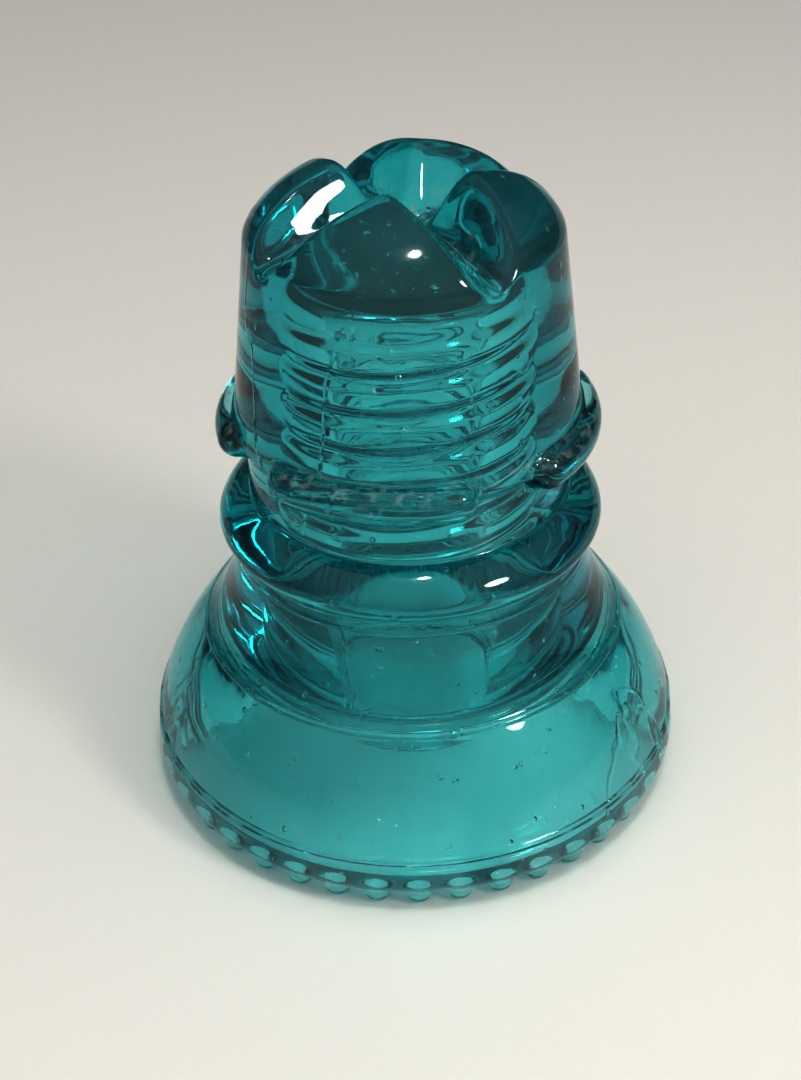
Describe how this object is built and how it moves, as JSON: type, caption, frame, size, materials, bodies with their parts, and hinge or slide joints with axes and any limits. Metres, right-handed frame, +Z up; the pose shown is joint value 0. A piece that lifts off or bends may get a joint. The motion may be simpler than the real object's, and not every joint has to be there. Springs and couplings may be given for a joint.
{
  "type": "pin-type glass line insulator",
  "caption": "Bell-skirted glass pin insulator with crossed wire saddles in a lobed crown, side wire ledges, a flange, drip points and a threaded pinhole.",
  "frame": {"origin": "on the axis, at the plane that the drip points stand on", "axes": "+Z up the axis from the skirt to the crown; the two wire saddles run along X and along Y, and the crown's lobes and the wire ledges are centred on the diagonals"},
  "size_m": [0.092, 0.092, 0.1075],
  "materials": {
    "teal_glass": "fire-polished pressed glass, blue-green, clear, a few seeds and mould seams"
  },
  "bodies": {
    "root": {"glass_insulator": "teal_glass"}
  },
  "joints": []
}
